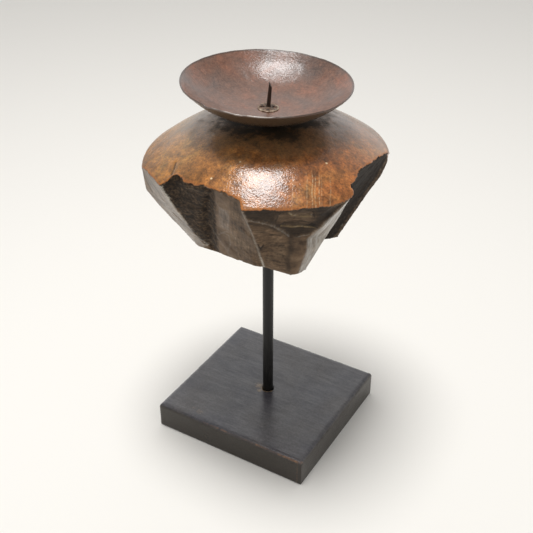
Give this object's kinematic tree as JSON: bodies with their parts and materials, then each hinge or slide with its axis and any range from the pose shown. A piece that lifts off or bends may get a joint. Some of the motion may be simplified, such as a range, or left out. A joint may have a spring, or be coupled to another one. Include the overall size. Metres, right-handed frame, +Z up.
{
  "type": "pricket candle stand",
  "caption": "Candle stand with a domed, rough-hewn wooden hub on an iron rod and square stained base, topped by a shallow iron drip dish with a pricket spike.",
  "frame": {"origin": "centre of the base's underside, on the rod's axis", "axes": "+Z up along the rod; +X and +Y along the base's longer and shorter edges"},
  "size_m": [0.1598, 0.1572, 0.2779],
  "materials": {
    "stained_wood": "black stain, satin",
    "hub_wood": "lacquered dome, raw hewn sides",
    "black_iron": "satin black paint",
    "dish_iron": "lacquered rust-brown patina"
  },
  "bodies": {
    "root": {"base_block": "stained_wood", "support_rod": "black_iron", "seat_collar": "black_iron", "seat_weld": "black_iron", "carved_hub": "hub_wood", "drip_dish": "dish_iron", "dish_weld": "black_iron", "pricket_spike": "black_iron", "spike_weld": "dish_iron"}
  },
  "joints": []
}
